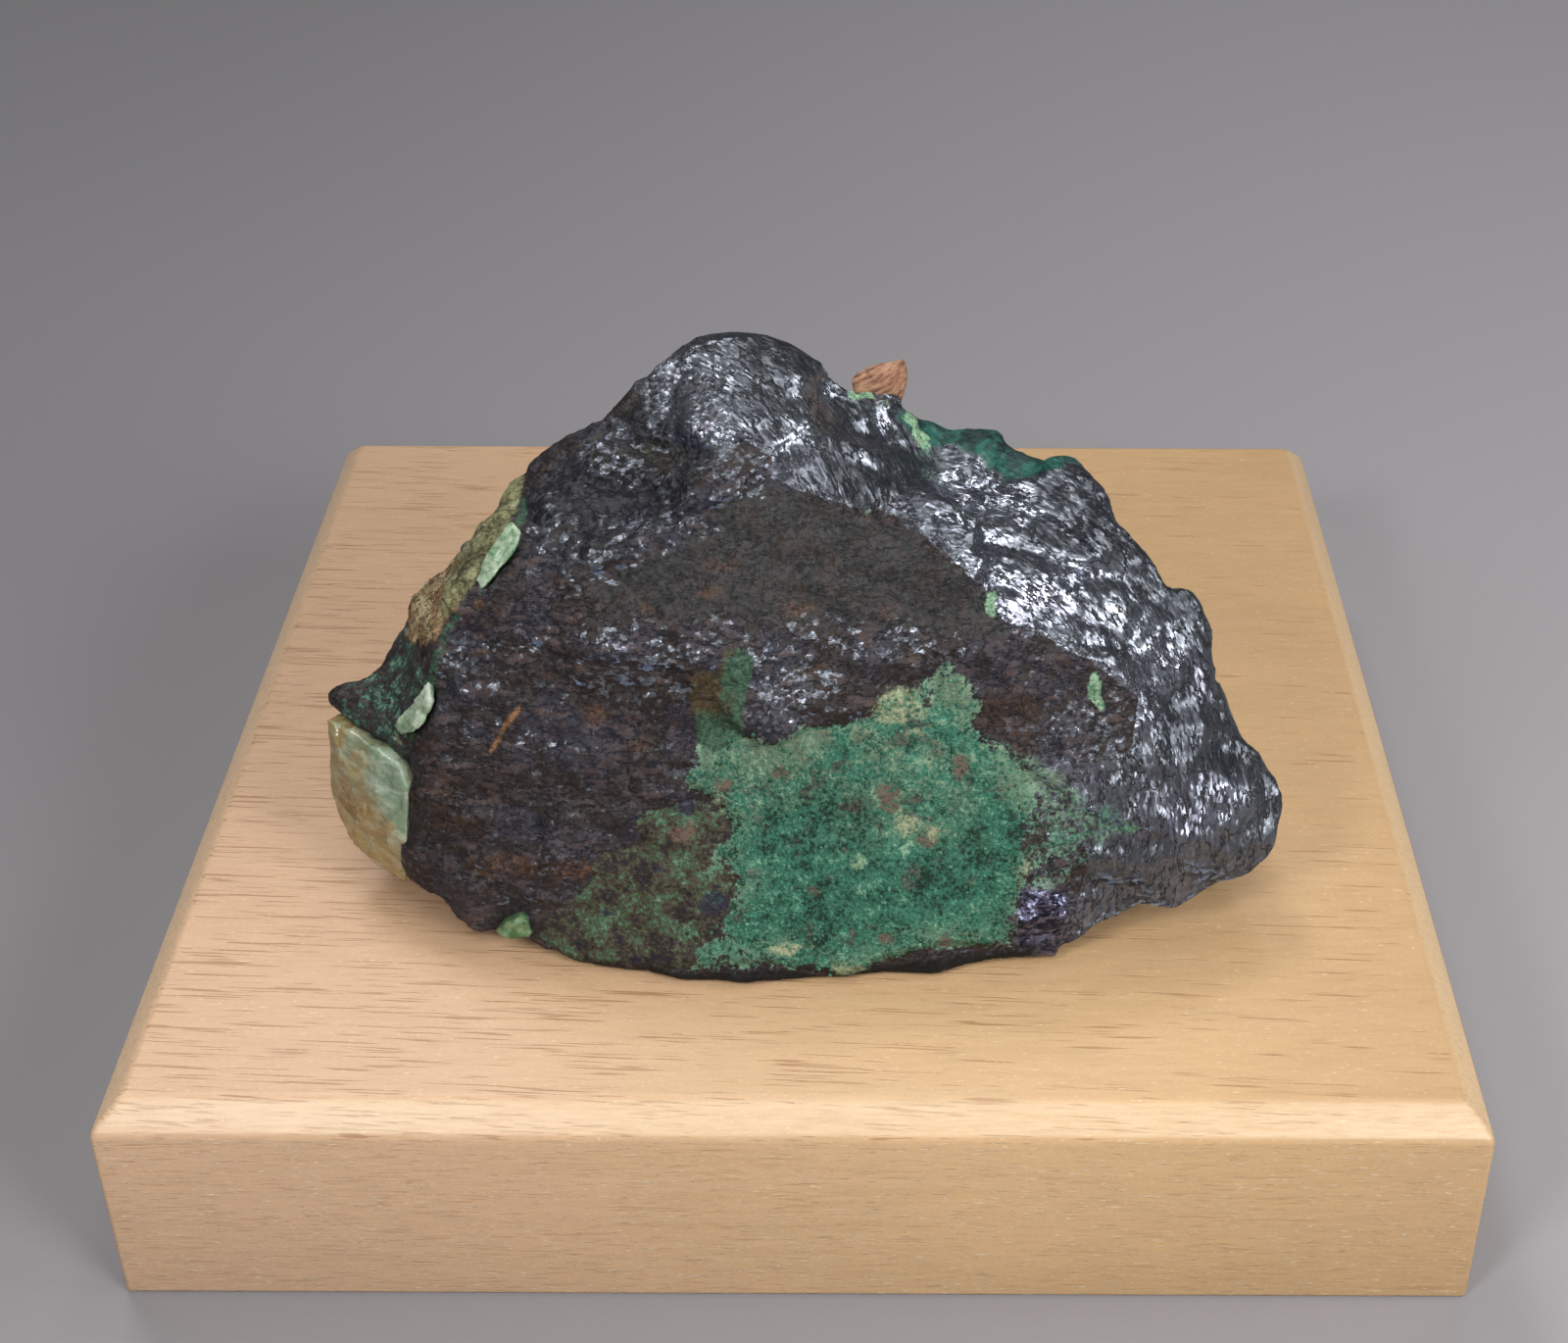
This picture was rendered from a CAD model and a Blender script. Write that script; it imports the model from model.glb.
"""Looks of a djurleite specimen on its display block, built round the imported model."""
import math

import bmesh
import bpy
import numpy as np
from bpy.props import FloatProperty, FloatVectorProperty, IntProperty, PointerProperty
from mathutils import Matrix, Vector, noise


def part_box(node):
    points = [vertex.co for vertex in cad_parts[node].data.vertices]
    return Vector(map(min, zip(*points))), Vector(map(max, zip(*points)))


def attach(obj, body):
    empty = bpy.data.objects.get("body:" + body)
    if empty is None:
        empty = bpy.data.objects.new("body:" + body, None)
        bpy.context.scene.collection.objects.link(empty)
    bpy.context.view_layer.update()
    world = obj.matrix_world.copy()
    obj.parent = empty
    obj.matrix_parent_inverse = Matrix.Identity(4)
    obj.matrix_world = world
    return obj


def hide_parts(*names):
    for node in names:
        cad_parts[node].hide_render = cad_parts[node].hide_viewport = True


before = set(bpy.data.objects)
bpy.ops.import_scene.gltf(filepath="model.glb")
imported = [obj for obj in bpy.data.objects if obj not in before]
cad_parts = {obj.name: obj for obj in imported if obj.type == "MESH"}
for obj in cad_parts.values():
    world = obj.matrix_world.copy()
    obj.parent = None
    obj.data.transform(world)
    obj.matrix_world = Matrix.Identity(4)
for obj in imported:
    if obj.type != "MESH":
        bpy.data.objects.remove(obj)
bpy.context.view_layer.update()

bl_info = {
    "name": "Djurleite Specimen",
    "version": (1, 0, 0),
    "blender": (4, 5, 0),
    "location": "View3D > Sidebar > Specimen",
    "description": "Builds a djurleite stone with its crusts and quartz, its display block and a stage",
    "category": "Add Mesh",
}

MM = 0.001
BODY = "root"
BLOCK_LOW, BLOCK_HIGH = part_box("display_block")
BLOCK_TOP = BLOCK_HIGH.z
BLOCK_WIDTH = BLOCK_HIGH.x - BLOCK_LOW.x
# The quartz pieces and their material slots.
QUARTZ_SLOTS = {
    "quartz_lump": "pale_quartz", "quartz_point": "brown_quartz", "quartz_sliver_upper": "green_quartz",
    "quartz_sliver_lower": "green_quartz", "quartz_foot_chip": "green_quartz",
}

# --- marks on the stone, millimetres
# Outlines on the front, as x from the block's middle and height above its top.
OUTLINES = {
    "malachite": [
        (-7, 19), (-4.5, 19.5), (-3.5, 19), (-1.75, 18.75), (0.25, 20), (2.75, 20.25), (5.25, 20.5),
        (6.25, 22), (8.25, 22.5), (9.75, 22.75), (10, 21.5), (10.5, 23.75), (11, 24.5), (11.75, 23.5),
        (12.75, 22), (14, 20.25), (13, 19.25), (14.5, 18), (16.2, 17), (17.2, 15.3), (17.8, 13.5),
        (17.4, 11), (17.6, 8.8), (17, 7), (16.5, 4.5), (16.2, 1.8), (14, 2), (11.7, 2.6), (9.4, 2.5),
        (7.9, 2.2), (6.4, 1.4), (4.9, 1), (3.4, 0.4), (1.2, 1.1), (-0.3, 1.5), (-2.5, 2), (-5, 1.9),
        (-8.5, 1.4), (-7.5, 3.2), (-6.6, 5), (-4.6, 8), (-6.4, 10), (-5, 12), (-5.7, 13.5), (-7.9, 15.2),
        (-8.6, 16.2), (-7.4, 17),
    ],
    "fringe": [
        (14.5, 18.5), (17.5, 17.6), (19.6, 16), (21.3, 14.8), (23.8, 13.6), (25.8, 11.9), (25.4, 10.8),
        (23.5, 9.8), (22, 8), (20.4, 6.6), (17, 6.5), (15, 12),
    ],
    "horn": [
        (-5.2, 25.9), (-3.8, 26.3), (-2.8, 25.5), (-3.3, 23.5), (-3.8, 21.5), (-3.6, 19), (-6, 17.6),
        (-7.5, 18.6), (-7.5, 20.6), (-8, 22.2), (-7.6, 24.2), (-6.4, 24.7), (-5.8, 24.3),
    ],
    "chip": [
        (21.8, 23), (22.4, 23), (22.5, 22.3), (22.9, 22.3), (22.8, 21), (23.3, 19.7), (22.7, 19.8),
        (22.1, 20.4), (21.5, 21.1), (21.8, 21.5), (21.3, 21.9), (21.8, 22.5),
    ],
    "olive": [
        (-11.5, 13.25), (-9.75, 13.75), (-7.75, 14.25), (-5, 13), (-3.5, 8), (-3, 2), (-5, 1.9),
        (-8.5, 1.3), (-12.3, 1), (-16.2, 0.5), (-18.5, 0.5), (-20, 2.25), (-20, 3.75), (-17.75, 5.5),
        (-15.75, 7.75), (-15, 9.75), (-14, 10.5), (-12.75, 10), (-11.75, 10.75), (-12, 12.25),
    ],
    "limonite": [
        (-21.5, 34.5), (-25, 32), (-28, 29), (-31, 26.5), (-33, 24), (-33, 20.5), (-30, 20.5),
        (-28.75, 22), (-27, 24), (-25.75, 26), (-24.25, 27.75), (-22.5, 30), (-21, 31.75), (-20.5, 32.75),
    ],
    "side_green": [
        (-20.5, 33), (-20.25, 31.25), (-22, 28.75), (-24.5, 27), (-25.75, 25), (-26.25, 23.25),
        (-27, 20.5), (-27.75, 18.25), (-28.5, 16.75), (-29.5, 15.25), (-31, 15.5), (-29.5, 19.25),
        (-28, 21), (-27.75, 22.5), (-27, 24), (-25.75, 26), (-24.25, 27.75), (-23.25, 28.75), (-22.5, 30),
        (-21.5, 31),
    ],
    "tongue": [
        (-38, 16), (-35.75, 17), (-33.75, 18), (-32, 19), (-31, 21), (-28.75, 22), (-28, 21), (-28.75, 19),
        (-30.25, 17.5), (-31, 15), (-29.5, 14.5), (-29.5, 13.5), (-31, 13.5), (-33.25, 14), (-36, 14),
    ],
    "violet": [
        (16.75, 6.75), (19.5, 6.5), (20.5, 5.75), (20.75, 4), (19.25, -1), (16.5, -1), (16.75, 3.25),
    ],
    "brown": [
        (13.75, 22), (16.25, 22.75), (18.25, 21.75), (18.5, 18.75), (17.5, 16.75), (14.5, 18), (13, 19.25),
    ],
    "gloom": [
        (-18.5, 35), (-15, 36.7), (-12, 39.5), (-8.5, 40), (-6.2, 37.2), (-7.5, 34), (-11, 32),
        (-14, 30.5), (-19, 30.5), (-21.5, 31.5),
    ],
    "hollow": [
        (-15, 35.9), (-11.3, 36.4), (-6.8, 37.4), (-5.8, 36.8), (-7.8, 35.9), (-10, 34.9), (-12.8, 35),
    ],
    "dull": [
        (-16, 28.5), (-12.25, 30.5), (-8, 32.5), (-6, 34.5), (-4.75, 36), (-0.75, 35.5), (2.75, 34.75),
        (5.5, 33.5), (8.75, 32), (11.75, 30.25), (13.75, 28.75), (15.25, 26.5), (16.5, 25.25),
        (10.75, 25.5), (5, 26.5), (-0.75, 26.5), (-3.75, 27.5), (-12.25, 27),
    ],
    "bright": [
        (-8.4, 43), (-8.9, 41), (-5.7, 40), (-4.9, 38.6), (-2, 37), (-1.5, 35.8), (-0.75, 35.5),
        (2.75, 34.75), (5.5, 33.5), (8.75, 32), (11.75, 30.25), (13.75, 28.75), (15.25, 26.5), (18.25, 25),
        (21.75, 23.75), (25.5, 20.5), (25, 17), (22, 17), (20, 14), (22, 9), (21, 3), (24, -1), (45, -1),
        (45, 50), (-9, 50),
    ],
}
# Spots on the front: x, height, half width and half height.
SPOTS = {
    "pale": [
        (7.6, 21, 2.4, 1.9), (8.6, 19.2, 1.3, 1), (-8.6, 16.2, 0.8, 0.6), (-2.7, 4.2, 0.6, 0.6),
        (3.5, 19.6, 2, 0.5), (2.7, 1.3, 2.3, 0.6), (-5.75, 14.25, 0.7, 1.6), (10.5, 11.5, 0.9, 0.5),
        (8.25, 12.5, 1, 0.8), (17.2, 8.8, 0.6, 1), (-0.3, 3.2, 3, 0.6), (-31, 14.9, 1.4, 0.5),
        (-34.5, 15.2, 1, 0.5),
    ],
    "mint": [(5.2, 33.8, 0.5, 0.3), (14.4, 27.6, 0.4, 0.6), (4.7, 9.9, 0.7, 0.7), (4, 12.6, 0.3, 0.9)],
    "pink": [
        (-5.4, 15.2, 1, 0.8), (-1.2, 16.1, 0.8, 0.6), (6.9, 15, 1, 0.8), (12.3, 16.4, 0.8, 1.1),
        (9.9, 11.3, 1, 0.8), (11.3, 3.2, 0.6, 0.8), (6.8, 3.6, 0.8, 0.6), (6.9, 13.8, 0.8, 0.5),
        (1.25, 7.75, 0.7, 0.6), (-9, 11.5, 0.7, 0.8), (-8, 12, 0.6, 0.9), (8.1, 19, 0.5, 0.4),
    ],
    "rust": [
        (-22.5, 17.5, 0.4, 1), (-21.5, 19.75, 0.4, 1.3), (-28.5, 16, 1.4, 0.5), (-27, 13, 3, 0.5),
        (-21.75, 8.5, 3, 1.1), (-14.25, 9.5, 1, 0.8), (-11.75, 18.25, 1.2, 0.8), (-16.25, 27, 1, 0.6),
        (-23.5, 27.25, 0.7, 0.8), (-23, 25.5, 0.9, 0.4), (-6.25, 29.25, 1.3, 0.5), (0.5, 28, 2.2, 0.8),
        (6.75, 27.5, 1, 0.6), (-14.75, 20.25, 1.5, 1.1), (-11, 27.75, 1, 0.5), (-5.5, 30.75, 1.6, 0.6),
        (-17.25, 8.75, 2.2, 1.3), (-13, 2.5, 1.5, 0.7),
    ],
    "bluish": [
        (-6.4, 6.6, 1.4, 1.1), (-14.5, 5, 1.2, 0.7), (-8.25, 13.5, 0.9, 0.9), (-10.5, 9, 1, 0.5),
        (-12.5, 1.5, 1, 0.6),
    ],
    "deep": [(10.9, 22.6, 1.5, 2), (12, 19, 1.6, 1), (2, 13, 5, 3), (12, 9, 4, 3), (-0.6, 11.8, 0.7, 0.4)],
}
# Narrow marks that follow a line: the line's points, and half the mark's width.
BANDS = {
    "streak": [([(18.4, 10.2), (21.2, 10.5), (23.4, 11.1), (25.6, 11.4)], 0.4)],
    "glint": [
        ([(-16.4, 29.7), (-13.5, 31.1), (-10.9, 32.2), (-8.1, 33.8), (-5.5, 34.7), (-2.5, 36.3)], 0.9),
        ([(-11.2, 25.1), (-8, 25.9), (-5.1, 26.4), (-4, 25.7)], 0.7),
        ([(-3.3, 24.9), (-0.8, 23.4), (1.7, 22.9)], 1.3),
        ([(-0.8, 26.2), (3.5, 25.6), (8.2, 25.7), (12, 25)], 0.5),
        ([(-26.3, 22.8), (-24.4, 22.2), (-22.9, 22)], 0.8),
        ([(-20, 24.5), (-16, 25.4), (-12.3, 26.2)], 0.4),
        ([(-15.4, 22.3), (-12.4, 23.2), (-8.1, 22.8)], 0.7),
        ([(-15.2, 35.6), (-12.7, 35), (-10, 35)], 0.6), ([(-9.3, 40.6), (-9.2, 38.6), (-7.5, 37.8)], 0.8),
        ([(-19, 31.9), (-17.4, 31.6)], 0.7), ([(-25, 17.8), (-20, 18.4), (-16, 18)], 0.3),
    ],
    "scratch": [([(-20.6, 20.4), (-22, 18.6)], 0.28), ([(-22.2, 18), (-23, 16.7)], 0.25)],
}
# Mint crumbs round the brown point's root: x, y, height and radius.
CRUMBS = [
    (4.3, -11, 37.5, 0.7), (5, -10.6, 37, 0.8), (6.4, -10.8, 36.2, 0.6), (8.5, -10.8, 35, 0.9),
    (9.2, -11.9, 34.2, 0.8), (9.6, -12.8, 33.8, 0.6),
]
# Ovals of the front that shine: x, height, half width, half height and how bright they are.
SHINE = [
    (-14, 37, 8, 5, 0.3), (-1, 22, 4, 3, 0.62), (9, 25, 8, 1.6, 0.45), (-24, 23, 4, 2.4, 0.55),
    (-12, 22.5, 10, 3, 0.42), (21, 15, 6, 9, 0.62), (19, 4, 4, 5, 0.62), (-26, 19, 4, 3, 0.42),
    (-7.5, 40, 6, 5, 0.85), (-8, 16, 2, 1, 0.6),
]
# The same for the bright flank, whose fresh faces catch more light than the rest of it.
FLARES = [
    (0.8, 38, 2.2, 3, 0.9), (-5, 37.5, 3, 2, 0.4), (14, 31.5, 5, 2, 1.2), (7, 36, 3, 1.2, 0.6),
    (17, 28, 6, 2, 0.8), (21, 26, 5, 3, 1), (26, 22, 4, 4, 0.7), (33, 11, 3, 3, 0.4), (24, 9, 3, 3, 0.2),
]
DULLEST = 0.1
QUIETEST_FLANK = 0.15
# The teal band lies behind the bright flank: x, y, half width and half depth.
TEAL_BAND = [(10.5, -11, 3.4, 1.8), (14.5, -12, 3.4, 2), (18.5, -13.5, 3.4, 2)]
TEAL_LOWEST = 29
# The front ends at this depth, on a line that wanders this far to either side, in waves of this size.
FRONT_LIMIT = -9
FRONT_WANDER = 5
WANDER_SIZE = 9
# Between these two depths, and these two places to the right, the back's own marks take over.
BACK_LIMITS = (-14, -3)
FLANK_LIMITS = (26, 20)
BACK_SHINE = 0.6
# How deep a mark is far inside it and far outside it.
FAR_INSIDE = 4
FAR_OUTSIDE = -3


# --- settings shown in the panel
def length(name, description, default, least, most):
    """A size in the panel, stated here in millimetres."""
    return FloatProperty(name=name, description=description, default=default * MM, min=least * MM,
                         max=most * MM, precision=5, unit="LENGTH")


def tint(name, description, default):
    return FloatVectorProperty(
        name=name, description=description, default=default, subtype="COLOR", min=0, max=1)


class StoneSettings(bpy.types.PropertyGroup):
    skin_size: length("Skin size", "Edge length of the stone's fine skin", 0.4, 0.2, 2)
    hackle_size: length("Hackle size", "Size of the small broken facets of the bright flank", 0.85, 0.3, 5)
    hackle_tilt: FloatProperty(
        name="Hackle tilt", description="Slope of those facets", default=0.34, min=0, max=2)
    crust_height: length("Crust height", "How far the malachite stands above the sulphide", 0.12, 0, 1)
    sulphide_colour: tint("Sulphide colour", "Colour of the fresh metallic djurleite", (0.25, 0.27, 0.31))
    tarnish_colour: tint("Tarnish colour", "Colour of the dull weathered front face", (0.024, 0.017, 0.015))
    malachite_colour: tint("Malachite colour", "Middle green of the malachite crust", (0.025, 0.115, 0.074))


class QuartzSettings(bpy.types.PropertyGroup):
    skin_size: length("Skin size", "Edge length of the quartz pieces' fine skin", 0.16, 0.08, 1)
    clear_colour: tint("Clear colour", "Colour of the clear pale green quartz", (0.27, 0.39, 0.26))
    ochre_colour: tint("Ochre colour", "Colour of the iron stain in the quartz", (0.5, 0.3, 0.09))


class CrustSettings(bpy.types.PropertyGroup):
    grain_size: length("Grain size", "Largest radius of the malachite grains", 0.2, 0.05, 1)
    grains_per_area: FloatProperty(
        name="Grains per square metre", description="How densely the grains cover the crust",
        default=5.0e6, min=0, max=5e7)
    seed: IntProperty(name="Seed", description="Arrangement of the grains", default=11, min=0)


class BlockSettings(bpy.types.PropertyGroup):
    chamfer: length("Chamfer", "Width of the sloping band round the top", 2.1, 0, 6)
    easing: length("Easing", "Radius to which the edges are sanded", 0.45, 0, 3)
    wood_colour: tint("Wood colour", "Middle colour of the sanded hardwood", (0.56, 0.37, 0.2))


class StageSettings(bpy.types.PropertyGroup):
    floor_colour: tint("Floor colour", "Colour of the plain floor", (0.235, 0.226, 0.235))
    light_power: FloatProperty(
        name="Light power", description="Brightness of all the lamps together", default=1.0, min=0)


# --- node building
def arithmetic(operation, turned=False):
    """A method of Value that adds a Math node. A turned one puts the value second."""
    def method(self, other=0):
        first, second = (other, self) if turned else (self, other)
        return self.nodes.node("ShaderNodeMath", {"operation": operation}, {0: first, 1: second})
    return method


class Value:
    """A socket of a node tree. Arithmetic on it adds Math nodes."""
    __add__, __radd__ = arithmetic("ADD"), arithmetic("ADD", turned=True)
    __sub__, __rsub__ = arithmetic("SUBTRACT"), arithmetic("SUBTRACT", turned=True)
    __mul__, __rmul__ = arithmetic("MULTIPLY"), arithmetic("MULTIPLY", turned=True)
    power, absolute = arithmetic("POWER"), arithmetic("ABSOLUTE")
    larger, smaller = arithmetic("MAXIMUM"), arithmetic("MINIMUM")

    def __init__(self, nodes, socket):
        self.nodes = nodes
        self.socket = socket

    def output(self, name):
        """Another output of the same node."""
        return Value(self.nodes, self.socket.node.outputs[name])


class Nodes:
    """A node tree, whose nodes are all made by one method."""

    def __init__(self, tree):
        self.tree = tree
        tree.nodes.clear()

    def node(self, kind, settings=None, inputs=None, output=0):
        node = self.tree.nodes.new(kind)
        for key, setting in (settings or {}).items():
            if key == "stops":
                self._set_stops(node.color_ramp, setting)
            else:
                setattr(node, key, setting)
        for key, given in (inputs or {}).items():
            if isinstance(given, Value):
                self.tree.links.new(given.socket, node.inputs[key])
            else:
                node.inputs[key].default_value = given
        return Value(self, node.outputs[output]) if len(node.outputs) else None

    @staticmethod
    def _set_stops(ramp, stops):
        while len(ramp.elements) < len(stops):
            ramp.elements.new(1)
        for element, (place, colour) in zip(ramp.elements, stops):
            element.position = place
            element.color = (*colour, 1)

    def step(self, value, low, high):
        """0 below low, 1 above high, and smooth between."""
        return self.node("ShaderNodeMapRange", {"interpolation_type": "SMOOTHSTEP"},
                         {"Value": value, "From Min": low, "From Max": high})


class Finish(Nodes):
    """A material made of nodes. Its places are Object coordinates in millimetres."""

    def __init__(self, name):
        self.material = bpy.data.materials.new(name)
        self.material.use_nodes = True
        super().__init__(self.material.node_tree)
        self.place = self.scaled(self.node("ShaderNodeTexCoord", output="Object"), (1 / MM,) * 3)

    def vector(self, operation, first, second, output=0):
        return self.node("ShaderNodeVectorMath", {"operation": operation}, {0: first, 1: second}, output)

    def scaled(self, vector, factors):
        return self.vector("MULTIPLY", vector, factors)

    def shifted(self, vector, offset):
        return self.vector("ADD", vector, offset)

    def split(self, vector):
        """The three numbers of a vector."""
        x = self.node("ShaderNodeSeparateXYZ", inputs={0: vector})
        return x, x.output("Y"), x.output("Z")

    def attribute(self, name, output="Fac"):
        return self.node("ShaderNodeAttribute", {"attribute_name": name}, output=output)

    def noise(self, scale, detail=2, roughness=0.5, place=None, distortion=0):
        """Noise from 0 to 1. Three scales stretch it."""
        place = place or self.place
        if isinstance(scale, tuple):
            place, scale = self.scaled(place, scale), 1
        return self.node("ShaderNodeTexNoise", {"noise_dimensions": "3D"}, {
            "Vector": place, "Scale": scale, "Detail": detail, "Roughness": roughness,
            "Distortion": distortion})

    def ramp(self, value, stops):
        return self.node("ShaderNodeValToRGB", {"stops": stops}, {"Fac": value})

    def mix(self, share, first, second, blend="MIX"):
        """A colour between two, each of them a colour or a socket."""
        first, second = [c if isinstance(c, Value) else (*c, 1) for c in (first, second)]
        return self.node(
            "ShaderNodeMix", {"data_type": "RGBA", "blend_type": blend}, {0: share, 6: first, 7: second}, 2)

    def grade(self, value, low, high, first, second):
        """The first colour where the value is low, and the second where it is high."""
        return self.mix(self.step(value, low, high), first, second)

    def lit(self, colour, factor):
        """A colour socket, brighter or darker."""
        return self.mix(1, colour, (factor,) * 3, "MULTIPLY")

    def between(self, share, first, second):
        """A number between two."""
        return self.node("ShaderNodeMix", {"data_type": "FLOAT"}, {0: share, 2: first, 3: second})

    def cells(self, vector, output):
        """Random cells of about one unit: their middles or colours."""
        return self.node(
            "ShaderNodeTexVoronoi", {"voronoi_dimensions": "3D"}, {"Vector": vector, "Scale": 1}, output)

    def facets(self, vector, size, tilt):
        """Height of flat facets of random tilt, in the vector's unit."""
        cells = self.scaled(vector, (1 / size,) * 3)
        centre = self.cells(cells, "Position")
        lean = self.shifted(centre.output("Color"), (-0.5, -0.5, -0.5))
        rise = self.vector("DOT_PRODUCT", lean, self.vector("SUBTRACT", cells, centre), "Value")
        return rise * (2 * tilt * size)

    def surface(self, colour, roughness, relief=None, strength=1, others=None):
        """End the nodes in a shader. Its relief is a height in millimetres."""
        inputs = {"Base Color": colour, "Roughness": roughness, **(others or {})}
        if relief is not None:
            inputs["Normal"] = self.node(
                "ShaderNodeBump", inputs={"Height": relief, "Strength": strength, "Distance": MM})
        shader = self.node("ShaderNodeBsdfPrincipled", inputs=inputs)
        self.node("ShaderNodeOutputMaterial", inputs={"Surface": shader})
        return self.material


# --- finishes
def scaled_colour(colour, *factors):
    """A colour times one factor, or times one for each channel."""
    return [min(1, c * factor) for c, factor in zip(colour, factors * 3)]


class Coat:
    """A finish's colour, metal and roughness, to which layers are added one by one."""

    def __init__(self, finish, colour, metallic, roughness):
        self.finish = finish
        self.colour = colour
        self.metallic = metallic
        self.roughness = roughness

    def add(self, mask, colour, roughness, metallic=0):
        self.colour = self.finish.mix(mask, self.colour, colour)
        self.metallic = self.finish.between(mask, self.metallic, metallic)
        self.roughness = self.finish.between(mask, self.roughness, roughness)


# Heights above the block, in millimetres, between which the stone's crusts change.
BUFF_STARTS = (8, 20)
HORN_BROWNS = (20, 21.5)
LIMONITE_PALES = (27.5, 25)
FOOT_ENDS = (1.5, 0.4)
# The horn's middle, from the block's middle.
HORN_MIDDLE = (-4.6, -6)
METAL = 0.95
NEAR_BLACK = (0.006, 0.005, 0.006)


def djurleite_finish(settings):
    """Metallic sulphide, bright on the flank and tarnished on the front, with its crusts and stains."""
    f = Finish("djurleite")
    x, _, height = f.split(f.place)
    height = height - BLOCK_TOP / MM
    grain = f.attribute("grain", "Vector")
    behind = f.attribute("behind")
    fine = f.noise(2.4, 4, 0.65)
    speck = f.noise(3.1, 3, 0.75)
    mottle = f.noise(0.7, 4, 0.6)
    broad = f.noise(0.22, 3, 0.6)
    streaks = f.noise((0.42, 0.6, 1.15), 4, 0.65)
    patchy = f.noise(0.55, 4, 0.7, f.shifted(f.place, (2, 9, 4)))
    ragged = (f.noise(1.1, 4, 0.7) - 0.5) * 2 + (broad - 0.5) * 2

    def marked(name, spread, soft=0.3):
        """1 inside a mark with a ragged edge and 0 outside it."""
        return f.step(f.attribute(name) + ragged * spread, 0, soft)

    def inside(name):
        """The same with a plain edge, for relief."""
        return f.step(f.attribute(name), 0, 0.8)

    bright = marked("bright", 0.25, 0.25)
    behind_share = f.step(behind + ragged * 0.5, 0.3, 0.7)
    seams = f.step((f.noise(0.75, 4, 0.6, grain) - 0.5).absolute(), 0.022, 0.004)
    shine = f.attribute("shine") + (mottle + fine - 1) * 1.2
    chips = f.cells(f.scaled(f.shifted(f.place, ragged * 0.4), (1.7, 2.2, 3)), "Color")
    chance = f.split(chips)[0] + (fine - 0.5) * 0.5
    glints = f.step(f.attribute("glint") + (chance - 0.5) * 5, 1, 1.9)
    fresh_share = f.step(bright.larger(behind_share * 0.8) * 0.6 + shine * 0.55, 0.3, 0.48)
    fresh_share = fresh_share.larger(glints * 0.85)

    # The sulphide: brown and violet tarnish, dull grey, or fresh metal.
    tarnish = f.grade(
        broad + (streaks - 0.5) * 0.8, 0.42, 0.6, settings.tarnish_colour, (0.028, 0.027, 0.04))
    tarnish = f.mix(f.step(streaks, 0.5, 0.66) * 0.6, tarnish, (0.085, 0.048, 0.03))
    tarnish = f.mix(f.step(fine, 0.5, 0.66) * 0.6, tarnish, (0.056, 0.048, 0.056))
    tarnish = f.mix(f.step(speck, 0.46, 0.36) * 0.7, tarnish, NEAR_BLACK)
    coat = Coat(f, tarnish, 0, 0.6)
    dull = marked("dull", 0.5, 0.5)
    ground = f.grade(fine, 0.34, 0.66, (0.011, 0.0105, 0.0105), (0.044, 0.042, 0.043))
    ground = f.mix(f.step(speck, 0.47, 0.37) * 0.8, ground, NEAR_BLACK)
    coat.add(dull * 0.9, f.mix(f.step(mottle, 0.48, 0.62) * 0.5, ground, (0.046, 0.033, 0.025)), 0.6)
    gloom = marked("gloom", 0.6, 0.8)
    coat.add(gloom * 0.75, f.grade(fine, 0.45, 0.65, (0.006, 0.007, 0.01), (0.03, 0.032, 0.044)), 0.5)
    hollow = f.grade(speck, 0.4, 0.6, (0.01, 0.009, 0.008), (0.034, 0.028, 0.022))
    coat.add(marked("hollow", 0.25) * 0.8, hollow, 0.6)
    sparks = f.step(chance - (dull + gloom) * 0.12, 0.94, 0.98)
    cracks = f.step((streaks - 0.5 + (fine - 0.5) * 0.15).absolute(), 0.02, 0.005)
    coat.add(cracks * (1 - bright.larger(dull * 0.6)) * 0.55, (0.004, 0.004, 0.005), 0.7)
    metal = settings.sulphide_colour
    fresh = f.grade(fine, 0.3, 0.75, scaled_colour(metal, 0.55), metal)
    fresh = f.mix(f.step(broad, 0.5, 0.72) * 0.5, fresh, (0.17, 0.16, 0.22))
    flare = f.step(f.attribute("flare") + (broad - 0.5) * 1.6, 0.1, 0.9).larger(glints * 0.55)
    fresh = f.mix(flare, f.lit(fresh, 0.65), f.lit(fresh, 1.35))
    underside = f.grade(chance, 0.35, 0.9, (0.035, 0.052, 0.08), (0.38, 0.56, 0.92))
    fresh = f.mix(f.attribute("under") * 0.8, fresh, underside)
    coat.add(fresh_share.larger(sparks * 0.6), fresh, f.between(flare, 0.38, 0.25), METAL)
    coat.add(seams * (bright + 0.4) * 0.7, (0.01, 0.01, 0.013), 0.6)

    # Brown and rusty stains, and the olive ground beside the malachite.
    coat.add(marked("brown", 1.4, 0.6) * f.step(speck, 0.4, 0.55) * 0.7, (0.052, 0.03, 0.021), 0.6)
    rust = f.grade(fine, 0.4, 0.65, (0.075, 0.034, 0.018), (0.17, 0.075, 0.032))
    coat.add(marked("rust", 0.5, 0.6) * f.step(speck, 0.36, 0.62) * 0.7, rust, 0.65)
    scratch = f.mix(speck, (0.1, 0.045, 0.02), (0.42, 0.2, 0.08))
    coat.add(marked("scratch", 0.12, 0.2) * 0.85, scratch, 0.7)
    olive = f.ramp(patchy * 0.6 + speck * 0.45, [
        (0.41, (0.014, 0.014, 0.022)), (0.48, (0.04, 0.03, 0.024)), (0.53, (0.08, 0.07, 0.042)),
        (0.58, (0.05, 0.125, 0.07)), (0.68, (0.2, 0.28, 0.18))])
    coat.add(marked("olive", 0.9) * 0.95, olive, 0.75)

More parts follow.
